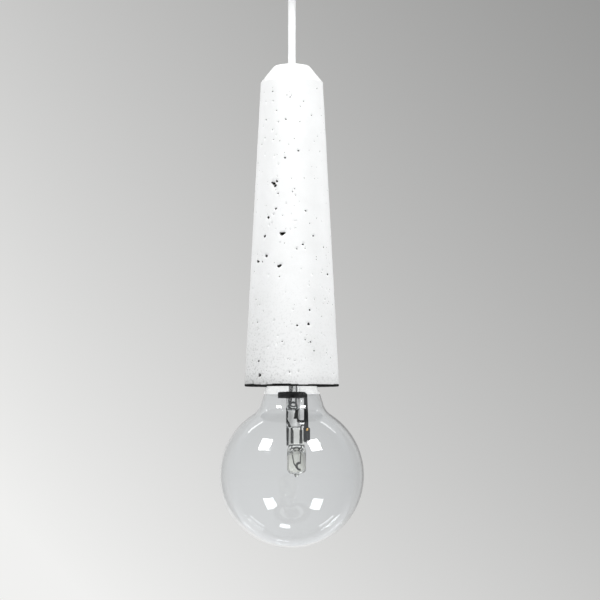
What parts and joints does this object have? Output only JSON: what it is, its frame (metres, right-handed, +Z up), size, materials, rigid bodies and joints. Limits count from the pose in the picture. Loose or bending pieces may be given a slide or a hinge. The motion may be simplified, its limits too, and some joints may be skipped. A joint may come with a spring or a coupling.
{
  "type": "pendant ceiling light",
  "caption": "Cast concrete cone pendant on a short cord from a round ceiling canopy, with a hidden screw lampholder and a large clear globe halogen lamp.",
  "frame": {"origin": "centre of the mounting bracket's face against the ceiling", "axes": "+Z up, along the hanging axis; +X along the bracket strip, through both side screws"},
  "size_m": [0.0958, 0.095, 0.4202],
  "materials": {
    "zinc_steel": "satin",
    "white_enamel": "satin",
    "white_nylon": "matte",
    "black_plastic": "matte",
    "white_cord": "matte",
    "brown_core": "satin",
    "blue_core": "satin",
    "green_core": "satin",
    "brass": "satin",
    "concrete": "matte",
    "rubber": "matte",
    "porcelain": "satin",
    "clear_glass": "gloss",
    "neck_white": "satin",
    "black_glass": "gloss",
    "aluminium": "satin",
    "solder": "satin",
    "dark_wire": "satin",
    "dark_metal": "satin",
    "gold_bead": "polished",
    "molybdenum": "satin",
    "tungsten": "satin",
    "spring_steel": "polished"
  },
  "bodies": {
    "bracket": {"mounting_bracket": "zinc_steel", "canopy_side_screws": "brass"},
    "canopy": {"canopy_cup": "white_enamel", "canopy_cord_grip": "white_nylon", "canopy_grip_screw": "zinc_steel", "canopy_lock_nut": "zinc_steel", "terminal_block": "white_nylon", "terminal_inserts": "brass", "terminal_block_screws": "zinc_steel", "post_nuts": "zinc_steel", "earth_tag": "brass", "earth_lead": "green_core", "cord_tail": "white_cord", "canopy_live_core": "brown_core", "canopy_neutral_core": "blue_core"},
    "swing_link": {"swivel_ball": "white_nylon"},
    "pendant": {"cord": "white_cord", "concrete_body": "concrete", "liner_tube": "aluminium", "seat_gasket": "rubber", "load_washer": "zinc_steel", "holder_cord_grip": "white_nylon", "holder_grip_screw": "zinc_steel", "lampholder_cap": "black_plastic", "lampholder_sleeve": "black_plastic", "lampholder_insert": "porcelain", "lampholder_terminals": "brass", "lampholder_terminal_screws": "zinc_steel", "holder_live_core": "brown_core", "holder_neutral_core": "blue_core", "side_contact": "brass", "contact_spring": "spring_steel"},
    "contact_plunger": {"centre_contact": "brass"},
    "lamp_carrier": {"cap_contact": "solder"},
    "lamp": {"cap_insulator": "black_glass", "cap_shell": "aluminium", "glass_globe": "clear_glass", "neck_coat": "neck_white", "stem_glass": "clear_glass", "lead_wire_left": "dark_wire", "lead_wire_right": "dark_wire", "heat_shield": "dark_metal", "support_strap": "dark_metal", "clamp_block": "dark_metal", "weld_bead": "gold_bead", "pinch_clip": "dark_metal", "capsule_pin": "dark_wire", "capsule_glass": "clear_glass", "pinch_foils": "molybdenum", "filament_legs": "tungsten", "filament": "tungsten"}
  },
  "joints": [
    {"name": "canopy_drop", "type": "slide", "parent": "bracket", "child": "canopy", "axis": [0, 0, -1], "range_m": [0, 0.04]},
    {"name": "pendant_swing_x", "type": "hinge", "parent": "canopy", "child": "swing_link", "pos_m": [0, 0, -0.038], "axis": [1, 0, 0], "range_deg": [-12, 12]},
    {"name": "pendant_swing_y", "type": "hinge", "parent": "swing_link", "child": "pendant", "pos_m": [0, 0, -0.038], "axis": [0, 1, 0], "range_deg": [-12, 12]},
    {"name": "centre_contact_press", "type": "slide", "parent": "pendant", "child": "contact_plunger", "axis": [0, 0, 1], "range_m": [0, 0.0008], "stiffness_N_per_m": 1500, "springref_m": -0.0006, "deforming": ["contact_spring"]},
    {"name": "lamp_travel", "type": "slide", "parent": "pendant", "child": "lamp_carrier", "axis": [0, 0, -1], "range_m": [0, 0.013]},
    {"name": "lamp_turn", "type": "hinge", "parent": "lamp_carrier", "child": "lamp", "pos_m": [0, 0, -0.29], "axis": [0, 0, -1], "range_deg": [0, 1260]}
  ],
  "couplings": [
    {"joint": "lamp_travel", "follows": "lamp_turn", "m_per_rad": 0.00057751}
  ]
}
